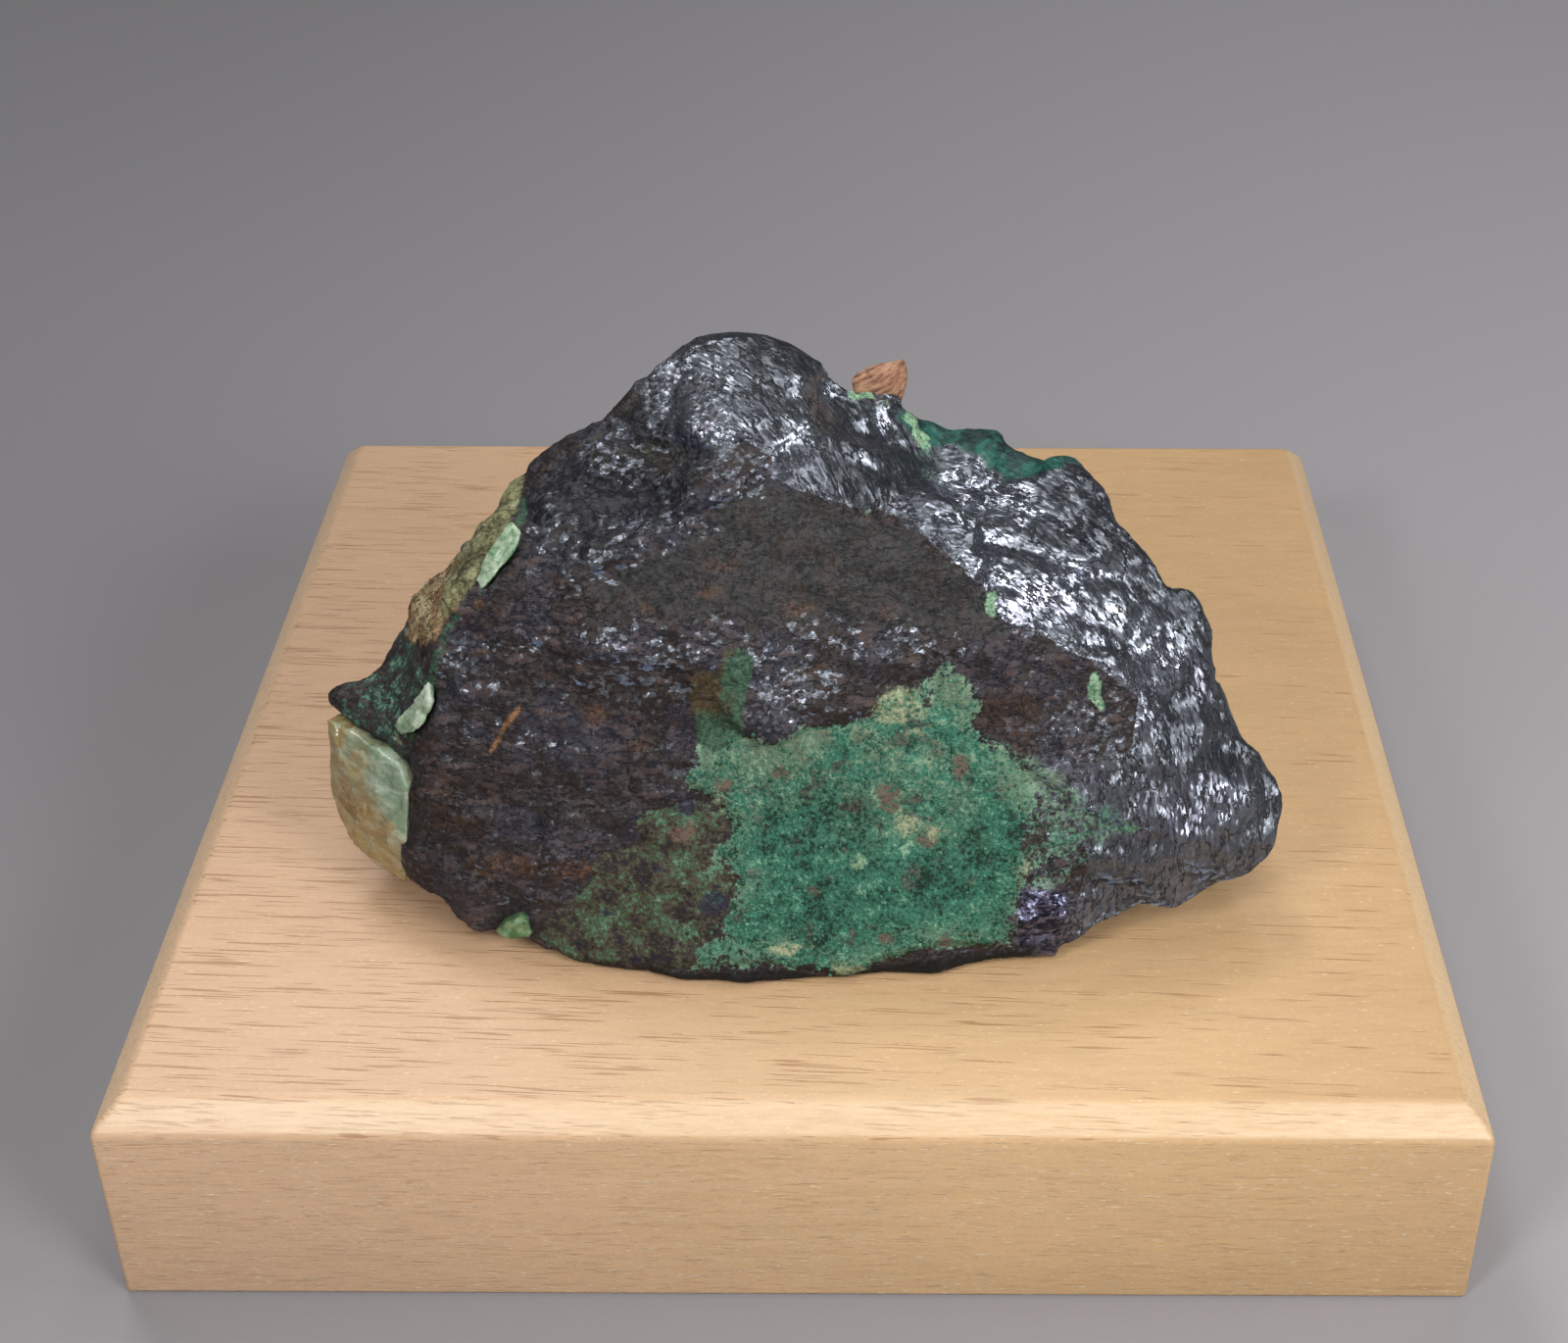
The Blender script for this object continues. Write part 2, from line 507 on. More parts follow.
    # The malachite crust: mottled greens, buff higher up, with brown clouds and a pale rim.
    depth = f.attribute("malachite") + ragged * 1.3 + (speck - 0.5) * 1.6
    depth += marked("olive", 0.5, 1) * (patchy - 0.5) * 12
    flecks = marked("fringe", 0.8, 0.8) * f.step(speck * 0.6 + mottle * 0.5, 0.53, 0.6)
    crust = f.step(depth, 0, 0.2).larger(flecks * 0.8).larger(marked("streak", 0.5))
    upper = f.step(height, *BUFF_STARTS)
    tone = mottle * 0.45 + speck * 0.55 + broad * 0.25 + fine * 0.15 + upper * 0.05 - inside("deep") * 0.05
    middle = settings.malachite_colour
    green = f.ramp(tone, [
        (0.6, scaled_colour(middle, 0.25)), (0.67, middle), (0.76, (0.045, 0.19, 0.125)),
        (0.85, (0.25, 0.42, 0.28))])
    buff = f.grade(fine, 0.4, 0.62, (0.08, 0.125, 0.08), (0.25, 0.29, 0.18))
    green = f.mix(upper * f.step(speck + (broad - 0.5), 0.42, 0.6) * 0.7, green, buff)
    cloud = f.grade(speck, 0.4, 0.6, (0.03, 0.03, 0.034), (0.11, 0.085, 0.062))
    green = f.mix(f.step(patchy + upper * 0.04, 0.57, 0.66) * 0.7, green, cloud)
    rim = f.step(depth + (mottle - 0.5) * 6, 3.2, 0.4) * f.step(speck + (broad - 0.5), 0.4, 0.56)
    green = f.mix(rim * 0.65, green, (0.15, 0.255, 0.165))
    coat.add(crust, green, f.between(fine, 0.6, 0.9))

    # The horn beside it, and the crust's spots.
    browned = f.step(x + (mottle - 0.5) * 6, *HORN_MIDDLE)
    browned *= f.step(height + (mottle - 0.5) * 4, *HORN_BROWNS)
    horn = f.mix(browned, (0.055, 0.125, 0.072), (0.085, 0.058, 0.024))
    coat.add(marked("horn", 0.35) * 0.9, f.grade(speck, 0.42, 0.6, f.lit(horn, 0.5), horn), 0.7)
    coat.add(marked("bluish", 0.6) * 0.75, (0.04, 0.04, 0.07), 0.35, 0.7)
    layers = f.noise((1.1, 1.1, 2.4), 3, 0.7)
    violet = f.grade(layers, 0.4, 0.6, (0.025, 0.025, 0.045), (0.17, 0.17, 0.25))
    coat.add(marked("violet", 0.5), violet, 0.32, 0.9)
    coat.add(marked("pink", 0.5) * f.step(speck, 0.34, 0.52) * 0.8, (0.15, 0.085, 0.068), 0.8)
    pale = f.grade(speck, 0.38, 0.6, (0.15, 0.22, 0.125), (0.42, 0.44, 0.27))
    coat.add(marked("pale", 1.1, 0.6) * 0.85, pale, 0.85)

    # The foot under the crusts is bare, dark stone.
    crusted = f.attribute("malachite").larger(f.attribute("olive")).smaller(1.2)
    foot = f.step(height + crusted + (mottle - 0.5) * 2, *FOOT_ENDS)
    coat.add(foot * (1 - behind) * f.step(crusted, -3, -1.5), (0.005, 0.0045, 0.004), 0.8)

    # The left side's iron and copper crusts, the teal band and the mint crumbs.
    lime = f.ramp(mottle * 0.4 + speck * 0.4 + patchy * 0.2, [
        (0.4, (0.045, 0.04, 0.02)), (0.46, (0.11, 0.105, 0.05)), (0.52, (0.19, 0.19, 0.095)),
        (0.58, (0.27, 0.27, 0.15)), (0.65, (0.4, 0.4, 0.27))])
    veins = f.step((patchy + (speck - 0.5) * 0.5 - 0.5).absolute(), 0.05, 0.015)
    cream = f.grade(mottle, 0.42, 0.6, (0.23, 0.145, 0.075), (0.4, 0.33, 0.19))
    cream = f.mix(veins, cream, (0.075, 0.034, 0.014))
    lime = f.mix(f.step(height + (mottle - 0.5) * 6, *LIMONITE_PALES), lime, cream)
    coat.add(marked("limonite", 0.35), lime, 0.8)
    coat.add(marked("side_green", 0.5) * f.step(mottle, 0.4, 0.55), (0.04, 0.1, 0.055), 0.7)
    tongue = f.ramp(patchy * 0.6 + speck * 0.4, [
        (0.42, (0.012, 0.012, 0.014)), (0.48, (0.05, 0.03, 0.024)), (0.53, (0.022, 0.055, 0.048)),
        (0.57, (0.07, 0.17, 0.12)), (0.66, (0.3, 0.38, 0.28))])
    coat.add(marked("tongue", 0.4) * 0.9, tongue, 0.55)
    teal = f.grade(patchy, 0.42, 0.62, (0.005, 0.024, 0.022), (0.014, 0.11, 0.08))
    coat.add(marked("teal", 0.5) * 0.95, teal, 0.6)
    mint = f.grade(speck, 0.4, 0.6, (0.11, 0.25, 0.15), (0.3, 0.43, 0.27))
    coat.add(marked("mint", 0.6, 0.2).larger(marked("chip", 0.3, 0.15)), mint, 0.7)

    # The hidden back carries the same crusts in patches of its own.
    areas = f.noise(0.08, 4, 0.65) + ragged * 0.04
    coat.add(behind * f.step(areas, 0.55, 0.59), green, 0.8)
    coat.add(behind * f.step(areas, 0.4, 0.35) * 0.8, lime, 0.8)

    # Fine relief: hackle along the flank's grain, grit elsewhere, and crumbs on the crusts.
    hackle = f.facets(grain, 0.5, 0.24) + f.facets(grain, 0.2, 0.36) - seams * 0.16
    hackle = hackle * (1 - inside("flare") * 0.45)
    grit = f.facets(f.scaled(f.place, (0.5, 0.7, 1)), 0.75, 0.2) + f.facets(f.place, 0.32, 0.3)
    grit = grit + streaks * 0.15 - cracks * 0.2
    hackle = f.between(f.attribute("off_grain").larger(inside("violet")), hackle, grit * 1.7)
    relief = f.between(inside("dull") * 0.7, grit, fine * 0.12 + speck * 0.08)
    relief = f.between(inside("bright").larger(behind), relief, hackle)
    crumbs = speck * 0.4 + fine * 0.25 + mottle * 0.5
    relief = f.between(inside("malachite").larger(inside("olive") * 0.7), relief, crumbs)
    return f.surface(coat.colour, coat.roughness, relief, others={
        "Metallic": coat.metallic, "Specular IOR Level": 0.3})


# Quartz bends light this much, and lets it this far in below its surface.
QUARTZ_IOR = 1.54
GLOW_COLOURS = (1, 1, 0.8)
# The lump's iron stain starts this far out, in millimetres, towards this side.
STAIN_REACH = 8.7
STAIN_SIDE = (-0.8, 0, -0.6)
# The brown point leans by this much, and is stained up to this far above its lowest place.
POINT_LEAN = math.radians(25)
POINT_ROOT = (1.6, 0.6)
# Below these heights above the block the green quartz is a plainer green.
FOOT_CHIP_TOP = (8, 6)


def quartz_surface(f, colour, roughness, relief, transmission, glow=0, glow_depth=1.0):
    return f.surface(colour, roughness, relief, 0.8, {
        "IOR": QUARTZ_IOR, "Transmission Weight": transmission, "Subsurface Weight": glow,
        "Subsurface Radius": GLOW_COLOURS, "Subsurface Scale": glow_depth * MM})


def clear_quartz_finish(settings):
    """Clear, grey-green quartz with iron stain along its outer side and white flaws."""
    f = Finish("pale_quartz")
    clouds = f.noise(0.35, 4, 0.6)
    wisps = f.noise((0.5, 0.5, 1.6), 4, 0.6)
    outward = f.vector("DOT_PRODUCT", f.place, STAIN_SIDE, "Value")
    stained = f.step(outward + (clouds - 0.5) * 14, STAIN_REACH - 2, STAIN_REACH + 2)
    colour = f.grade(wisps, 0.4, 0.7, settings.clear_colour, (0.56, 0.66, 0.52))
    ochre = f.grade(wisps, 0.4, 0.62, settings.ochre_colour, (0.56, 0.47, 0.26))
    colour = f.mix(stained * 0.85, colour, ochre)
    flaws = f.noise(1.2, 4, 0.7, f.scaled(f.place, (0.4, 0.5, 1.3)), distortion=1.5)
    flaws = f.step(flaws, 0.63, 0.72)
    colour = f.mix(flaws * 0.7, colour, (0.86, 0.9, 0.84))
    ripples = f.facets(f.place, 1.8, 0.2) + clouds * 0.5
    return quartz_surface(f, colour, f.between(flaws, 0.2, 0.5), ripples, 0.45, 0.25, 1.2)


def green_quartz_finish():
    """Milky quartz chips, nearly white in the middle, and plain green low down."""
    f = Finish("green_quartz")
    clouds = f.noise(0.8, 5, 0.7)
    low_down = f.step(f.split(f.place)[2] - BLOCK_TOP / MM, *FOOT_CHIP_TOP)
    milky = f.ramp(clouds, [
        (0.36, (0.07, 0.19, 0.09)), (0.46, (0.24, 0.36, 0.22)), (0.56, (0.44, 0.52, 0.39)),
        (0.7, (0.74, 0.78, 0.68))])
    colour = f.mix(low_down, milky, f.grade(clouds, 0.35, 0.65, (0.035, 0.11, 0.04), (0.2, 0.3, 0.15)))
    ripples = f.facets(f.place, 1.3, 0.22) + f.noise(1.5, 4, 0.6) * 0.08
    return quartz_surface(f, colour, f.between(clouds, 0.3, 0.5), ripples, 0.2, 0.2, 0.8)


def brown_quartz_finish():
    """Cloudy brown quartz with fine lines that run up to the point."""
    f = Finish("brown_quartz")
    turned = f.node("ShaderNodeMapping", inputs={"Vector": f.place, "Rotation": (0, POINT_LEAN, 0)})
    lines = f.noise((0.35, 1.6, 3.2), 5, 0.65, turned)
    colour = f.ramp(lines, [
        (0.32, (0.075, 0.026, 0.014)), (0.43, (0.27, 0.11, 0.055)), (0.55, (0.38, 0.2, 0.11)),
        (0.72, (0.55, 0.34, 0.2))])
    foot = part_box("quartz_point")[0].z / MM
    colour = f.mix(f.step(f.split(f.place)[2] - foot, *POINT_ROOT) * 0.8, colour, (0.1, 0.11, 0.06))
    return quartz_surface(f, colour, f.between(lines, 0.5, 0.35), lines * 0.4, 0.08)


# The log's middle lies this far below the block and behind it, in millimetres.
PITH_DEPTH = 150
PITH_BEHIND = 55
PORE_TURN = math.radians(3)


def hardwood_finish(settings):
    """Sanded pale hardwood: faint growth bands, fine long pores along X and small bright flecks."""
    f = Finish("pale_hardwood")
    x, y, z = f.split(f.place)
    wood = settings.wood_colour
    down = z + PITH_DEPTH + f.noise((0.012, 0.05, 0.05), 3) * 18
    across = y - PITH_BEHIND + x * 0.05
    radius = (down * down + across * across).power(0.5)
    ring_place = f.node("ShaderNodeCombineXYZ", inputs={"X": radius * 0.9, "Y": x * 0.006})
    mottle = f.noise((0.05, 0.11, 0.11), 3, 0.55)
    satin = f.noise((0.25, 2.2, 2.2), 5, 0.65)
    colour = f.grade(f.noise(1, 3, 0.6, ring_place), 0.35, 0.65, scaled_colour(wood, 0.94, 0.91, 0.86), wood)
    colour = f.grade(mottle, 0.35, 0.7, colour, scaled_colour(wood, 1.05, 1.02, 0.94))
    colour = f.mix(f.step(x, 0, 55) * 0.5, colour, scaled_colour(wood, 0.74, 0.7, 0.64))
    colour = f.mix(f.step(mottle * 50 - x, 0, 70) * 0.7, colour, scaled_colour(wood, 0.99, 0.96, 1.18))
    colour = f.mix(f.step(satin, 0.3, 0.7) * 0.7, f.lit(colour, 0.95), f.lit(colour, 1.06))
    colour = f.mix(f.step(f.noise(3.5, 3, 0.7), 0.3, 0.7) * 0.7, f.lit(colour, 0.95), f.lit(colour, 1.05))

    # Pores: fine, brown and long, dipping a little to the right, closer together towards the left front.
    lengthwise = f.node("ShaderNodeMapping", inputs={"Vector": f.place, "Rotation": (0, 0, PORE_TURN)})
    gather = f.noise((0.1, 1.3, 1.3), 2, 0.6, lengthwise) - x * 0.0012 - y * 0.0006
    up = f.split(f.node("ShaderNodeNewGeometry", output="Normal"))[2]
    sawn = f.step(up, 0.5, 0.2)
    pores = f.step(f.noise((0.15, 5.5, 5.5), 1.5, 0.5, lengthwise), 0.57, 0.63)
    pores = pores * f.step(gather, 0.5, 0.6) * (1 - sawn * 0.6)
    short = f.step(f.noise((0.5, 5, 5), 1, 0.5, lengthwise), 0.7, 0.76)
    colour = f.mix(pores * 0.6, colour, (0.27, 0.12, 0.04))
    colour = f.mix(short * 0.35 * (1 - sawn * 0.7), colour, (0.32, 0.16, 0.06))
    colour = f.mix(f.step(f.noise((1.2, 6.5, 6.5), 2, 0.6), 0.66, 0.74) * 0.5, colour, (0.84, 0.7, 0.48))

    # The sides and the chamfer are rougher than the sanded top.
    chamfer = f.step(up, 0.5, 0.65) * f.step(up, 0.98, 0.8)
    fuzz = f.noise((0.35, 3.5, 3.5), 4, 0.7)
    colour = f.mix(chamfer * f.step(fuzz, 0.2, 0.7) * 0.6, colour, (0.66, 0.5, 0.32))
    ticks = f.step(f.noise((0.45, 5, 5), 3, 0.65), 0.6, 0.68)
    colour = f.mix(ticks * sawn * 0.4, colour, (0.36, 0.21, 0.1))
    pale_ticks = f.step(f.noise((0.9, 6.5, 6.5), 3, 0.65, f.shifted(f.place, (9, 5, 3))), 0.58, 0.68)
    colour = f.mix(pale_ticks * sawn * 0.55, colour, (0.74, 0.62, 0.45))
    relief = satin * 0.03 - pores * 0.04 + (pale_ticks - ticks) * sawn * 0.04 + chamfer * fuzz * 0.06
    roughness = f.between(sawn, f.between(satin, 0.42, 0.55), 0.75)
    return f.surface(colour, roughness, relief, 0.7, {
        "Coat Weight": f.between(sawn, 0.25, 0), "Coat Roughness": 0.35})


def grain_finish(settings):
    """The malachite's loose grains: the crust's greens, with a few pale ones."""
    f = Finish("malachite_grain")
    tone = f.noise(1.9, 3, 0.7)
    middle = settings.malachite_colour
    colour = f.ramp(tone, [
        (0.32, scaled_colour(middle, 0.5)), (0.48, middle), (0.6, (0.06, 0.19, 0.12)),
        (0.72, (0.24, 0.36, 0.24))])
    return f.surface(colour, f.between(tone, 0.8, 0.6))


def floor_finish(settings):
    """A plain floor that gets a little lighter to the right."""
    f = Finish("plain_floor")
    tone = f.noise(1.4, 3, 0.7)
    floor = settings.floor_colour
    colour = f.mix(tone, scaled_colour(floor, 0.97), scaled_colour(floor, 1.03))
    colour = f.grade(f.split(f.place)[0], -150, 150, f.lit(colour, 0.8), f.lit(colour, 1.25))
    return f.surface(colour, f.between(tone, 0.8, 0.9))


# --- mesh helpers
MERGE_GAP = 0.005 * MM


def add_object(name, data):
    obj = bpy.data.objects.new(name, data)
    bpy.context.scene.collection.objects.link(obj)
    return obj


def node_bmesh(node):
    """A CAD node's shape with its loose triangles joined."""
    bm = bmesh.new()
    bm.from_mesh(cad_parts[node].data)
    bmesh.ops.remove_doubles(bm, verts=bm.verts, dist=MERGE_GAP)
    return bm


def mesh_from(bm, name):
    mesh = bpy.data.meshes.new(name)
    bm.to_mesh(mesh)
    bm.free()
    return mesh


def finished_mesh(obj):
    """The object's mesh with its modifiers applied and removed."""
    mesh = bpy.data.meshes.new_from_object(obj.evaluated_get(bpy.context.evaluated_depsgraph_get()))
    obj.modifiers.clear()
    obj.data = mesh
    return mesh


def even_skin(obj, size, smoothing):
    """Replace the object's mesh by small even faces, softened a little."""
    remesh = obj.modifiers.new("even skin", "REMESH")
    remesh.mode = "VOXEL"
    remesh.voxel_size = size
    smooth = obj.modifiers.new("soften", "SMOOTH")
    smooth.factor = 0.5
    smooth.iterations = smoothing
    finished_mesh(obj)


def vertex_arrays(mesh):
    """The places and normals of a mesh's vertices."""
    arrays = []
    for name in ("co", "normal"):
        values = np.empty(len(mesh.vertices) * 3, np.float32)
        mesh.vertices.foreach_get(name, values)
        arrays.append(values.reshape(-1, 3).astype(float))
    return arrays


def set_places(mesh, places):
    mesh.vertices.foreach_set("co", places.astype(np.float32).ravel())
    mesh.polygons.foreach_set("use_smooth", [True] * len(mesh.polygons))
    mesh.update()


def store(mesh, name, values):
    kind, field = ("FLOAT_VECTOR", "vector") if values.ndim == 2 else ("FLOAT", "value")
    layer = mesh.attributes.new(name, kind, "POINT")
    layer.data.foreach_set(field, values.astype(np.float32).ravel())


def dress(obj, finish, slot, *nodes):
    """Give a finished piece its material, body and slot, and the CAD nodes that it stands for."""
    obj.data.materials.clear()
    obj.data.materials.append(finish)
    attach(obj, BODY)
    if nodes:
        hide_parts(*nodes)


# --- marks
def smooth_step(low, high, value):
    t = np.clip((value - low) / (high - low), 0, 1)
    return t * t * (3 - 2 * t)


def stretches(x, height, line):
    """Each stretch of a line: its two ends and every place's distance from it."""
    for (ax, az), (bx, bz) in zip(line, line[1:]):
        along = ((x - ax) * (bx - ax) + (height - az) * (bz - az)) / ((bx - ax) ** 2 + (bz - az) ** 2)
        along = np.clip(along, 0, 1)
        yield ax, az, bx, bz, np.hypot(x - ax - along * (bx - ax), height - az - along * (bz - az))


def outline_depth(x, height, outline):
    """How far each place is inside an outline, in millimetres. It is negative outside."""
    nearest = np.full(len(x), np.inf)
    inside = np.zeros(len(x), bool)
    for ax, az, bx, bz, gap in stretches(x, height, outline + outline[:1]):
        nearest = np.minimum(nearest, gap)
        crosses = (az > height) != (bz > height)
        with np.errstate(divide="ignore", invalid="ignore"):
            inside ^= crosses & (x < (bx - ax) * (height - az) / (bz - az) + ax)
    return np.where(inside, nearest, -nearest)


def line_gap(x, height, line):
    """Distance to a line, and on which side of it each place is: above 0 on the left of its direction."""
    nearest = np.full(len(x), np.inf)
    side = np.zeros(len(x))
    for ax, az, bx, bz, gap in stretches(x, height, line):
        turn = (bx - ax) * (height - az) - (bz - az) * (x - ax)
        side = np.where(gap < nearest, np.sign(turn), side)
        nearest = np.minimum(nearest, gap)
    return nearest, side


def spot_depth(first, second, spots):
    """The same as outline_depth for a set of oval spots."""
    depth = np.full(len(first), float(FAR_OUTSIDE))
    for a, b, half_a, half_b in spots:
        reach = np.hypot((first - a) / half_a, (second - b) / half_b)
        depth = np.maximum(depth, (1 - reach) * min(half_a, half_b))
    return depth


def crumb_depth(x, y, height):
    """The mint crumbs of the upper side, as balls."""
    depths = [radius - np.sqrt((x - a) ** 2 + (y - b) ** 2 + (height - c) ** 2)
              for a, b, c, radius in CRUMBS]
    return np.maximum(np.max(depths, axis=0), FAR_OUTSIDE)


def oval_level(x, height, ovals, least):
    level = np.full(len(x), least)
    for a, b, half_a, half_b, top in ovals:
        reach = np.hypot((x - a) / half_a, (height - b) / half_b)
        level = np.maximum(level, top * smooth_step(1.3, 0.5, reach))
    return level


def stone_marks(x, y, height):
    """Every mark's depth, and how much each place shines, flares or belongs to the back."""
    wander = FRONT_WANDER * noise_heights(np.stack([x, y, height], axis=1), WANDER_SIZE)
    front = y + wander < FRONT_LIMIT
    back_share = smooth_step(*BACK_LIMITS, y + wander * 2)
    marks = {name: outline_depth(x, height, outline) for name, outline in OUTLINES.items()}
    marks.update({name: spot_depth(x, height, spots) for name, spots in SPOTS.items()})
    for name, bands in BANDS.items():
        marks[name] = np.max([width - line_gap(x, height, line)[0] for line, width in bands], axis=0)
    for name, depth in marks.items():
        marks[name] = np.where(front, np.clip(depth, FAR_OUTSIDE, FAR_INSIDE), FAR_OUTSIDE)
    marks["teal"] = np.where(height > TEAL_LOWEST, spot_depth(x, y, TEAL_BAND), FAR_OUTSIDE)
    marks["mint"] = np.maximum(marks["mint"], crumb_depth(x, y, height))
    marks["bright"] = np.where(front | (x < FLANK_LIMITS[1]), marks["bright"], FAR_INSIDE)
    marks["behind"] = back_share * smooth_step(*FLANK_LIMITS, x)
    marks["shine"] = oval_level(x, height, SHINE, DULLEST) * (1 - back_share) + BACK_SHINE * back_share
    marks["flare"] = np.maximum(oval_level(x, height, FLARES, QUIETEST_FLANK), marks["shine"] * front * 0.6)
    return marks


# --- stone
# The flank's grain runs round two centres, seen from the front and above: right of the middle and upward.
GRAIN_CENTRES = [(-15.3, 19.7), (6, 4.2)]
GRAIN_STRETCH = 0.42
VIEW_SLOPE = math.radians(41)
VIEW_START = 25
# Between these two depths the flank's grain gives way to the plain broken surface of the back.
GRAIN_LIMITS = (-12, -3)
# The crest is smoother than the rest of the flank, between these heights.
CREST_LIMITS = (35, 41)
NOISE_SEED = 11
# The hackle's two kinds of facet: times its size, and times its tilt.
HACKLE_KINDS = [(3, 0.11), (1, 0.38)]
# Broken plates, lumps and the quartz's two kinds of facet: size, tilt and how wide their ramps are.
RAMP = 0.12
PLATES = (1.3, 0.16, RAMP)
LUMPS = (2.8, 0.13, 0.2)
QUARTZ_FACETS = [(2.2, 0.12, 0.1), (0.8, 0.1, 0.1)]
PLATE_STRETCH = np.array([0.5, 0.7, 1])
SEAM_STRETCH = np.array([0.14, 0.3, 0.6])
# How far chips and the violet chunk rise, and how far the hollow and the seams sink.
CHIP_RISE, VIOLET_RISE, HOLLOW_DEPTH, SEAM_DEPTH = 0.2, 0.25, 0.5, 0.12
# The share of the hackle that the crest lacks, and of the plates that the dull face lacks.
CREST_CALM, DULL_CALM = 0.65, 0.75
# Noise on the stone: its size and height, over all of it and in the crust's two layers of crumbs.
GRAININESS = (1.4, 0.06)
CRUMB_LAYERS = [(0.55, 0.09), (2.2, 0.12)]
# The relief fades out between these heights, where the stone rests.
REST_LIMITS = (0.25, 1)
# Cracks of the front: the line, its depth and its half width.
CRACKS = [
    ([(-19.4, 12.2), (-19.2, 10.4), (-19.5, 8.6)], 0.5, 0.16),
    ([(-14.1, 14.2), (-8.5, 14.2), (-6.7, 12.9), (-3.9, 12.5)], 0.3, 0.18),
    ([(-13.8, 29.9), (-11.6, 28.5), (-10.3, 27.5)], 0.3, 0.2),
    ([(10.7, 32.4), (13.7, 32), (17, 31.7), (21.9, 29.4)], 0.5, 0.22),
    ([(13.6, 31), (17.3, 29.7), (21.8, 28.1)], 0.45, 0.22),
    ([(-14.4, 36.1), (-11.3, 36.2), (-8.2, 36.1)], 0.4, 0.3),
    ([(-25.5, 24), (-24, 20), (-23.4, 17)], 0.15, 0.2),
    ([(-30, 13), (-24, 13.4), (-18, 12.6)], 0.2, 0.15),
]
# Broken edges of the front. What lies on the left of each line stands proud of the rest: line, rise, reach.
LEDGES = [
    ([(-16.2, 29.1), (-11.6, 31.8), (-8, 34), (-5.2, 35.2), (-1.6, 37)], 0.4, 3),
    ([(-4.6, 20.5), (-3.5, 19), (-1.75, 18.5), (0.25, 19.8), (2.75, 20.2), (5.25, 20.8), (6, 22.3)],
     0.7, 2.5),
    ([(-18.8, 9), (-15.8, 9.8), (-12.8, 10.2), (-12, 12), (-9, 13.8)], 0.3, 3),
    ([(-21, 25), (-16, 24.6), (-8, 24.4), (-4.5, 25)], 0.45, 2),
    ([(14, 20.2), (17, 16.5), (21, 13.2), (25, 11.6)], 0.4, 3),
]
# The quartz pieces' roots in the stone are this many times larger, and reach this much further in.
LUMP_ROOT = (1.05, 3.6 * MM)
SMALL_ROOT = (1.12, 1.4 * MM)
STONE_MIDDLE = Vector((0, -13 * MM, BLOCK_TOP + 14 * MM))
REST_GAP = 0.02 * MM


def grain_places(x, y, height):
    """Places along the flank's grain: x and height, both shortened, and the distance across the grain."""
    upward = height * math.cos(VIEW_SLOPE) + (y + VIEW_START) * math.sin(VIEW_SLOPE)
    across = np.min([np.hypot(x - a, upward - b) for a, b in GRAIN_CENTRES], axis=0)
    return np.stack([x * GRAIN_STRETCH, height * GRAIN_STRETCH, across], axis=1)


def facet_heights(places, size, tilt, ramp):
    """Flat facets of random tilt, joined by short ramps."""
    noise.seed_set(NOISE_SEED)
    heights = np.empty(len(places))
    for index, place in enumerate(places / size):
        point = Vector(place)
        distances, centres = noise.voronoi(point)
        near, next_near = [noise.noise_vector(c * 3.7).dot(point - c) for c in centres[:2]]
        share = min((distances[1] - distances[0]) / ramp, 1)
        heights[index] = near * (1 + share) + next_near * (1 - share)
    return heights * tilt * size


def noise_heights(places, size, octaves=3):
    return np.array([noise.fractal(Vector(place), 0.7, 2.0, octaves) for place in places / size])


def crack_depths(x, height):
    return np.max([deep * np.exp(-(line_gap(x, height, line)[0] / wide) ** 2)
                   for line, deep, wide in CRACKS], axis=0)


def ledge_heights(x, height):
    rise = np.zeros(len(x))
    for line, step, reach in LEDGES:
        gap, side = line_gap(x, height, line)
        rise += step * smooth_step(-0.15, 0.15, gap * side) * np.exp(-gap / reach)
    return rise


def stone_relief(places, marks, settings):
    """Fine height of the stone's surface, in millimetres."""
    x, y, height = places.T
    front = smooth_step(FRONT_LIMIT + 2, FRONT_LIMIT - 2, y)
    broken = np.maximum(smooth_step(-0.2, 0.2, marks["bright"]), marks["behind"])
    grained = broken * (1 - smooth_step(*GRAIN_LIMITS, y))
    crust = smooth_step(-0.15, 0.15, marks["malachite"])
    dull = smooth_step(-0.3, 0.5, marks["dull"])
    along = grain_places(x, y, height)
    size = settings.hackle_size / MM
    hackle = sum(facet_heights(along, size * times, settings.hackle_tilt * share, RAMP)
                 for times, share in HACKLE_KINDS)
    rough = facet_heights(places * PLATE_STRETCH, *PLATES) + facet_heights(places, *LUMPS)
    wander = noise_heights(places * SEAM_STRETCH, 1, 2)
    seams = smooth_step(0.07, 0, abs(wander)) * smooth_step(-0.1, 0.2, noise_heights(places, 6, 1))
    relief = noise_heights(places, GRAININESS[0]) * GRAININESS[1]
    relief += hackle * grained * (1 - CREST_CALM * smooth_step(*CREST_LIMITS, height))
    relief += (rough - seams * SEAM_DEPTH) * (1 - grained) * (1 - crust) * (1 - dull * DULL_CALM)
    crumbs = sum(noise_heights(places, size, 2) * rise for size, rise in CRUMB_LAYERS)
    relief += crust * (crumbs + settings.crust_height / MM)
    relief += front * (ledge_heights(x, height) - crack_depths(x, height))
    relief += VIOLET_RISE * smooth_step(-0.05, 0.12, marks["violet"])
    relief += CHIP_RISE * smooth_step(-0.05, 0.2, np.maximum(marks["mint"], marks["chip"]))
    relief -= HOLLOW_DEPTH * smooth_step(-0.1, 0.5, marks["hollow"])
    return relief * smooth_step(*REST_LIMITS, height)


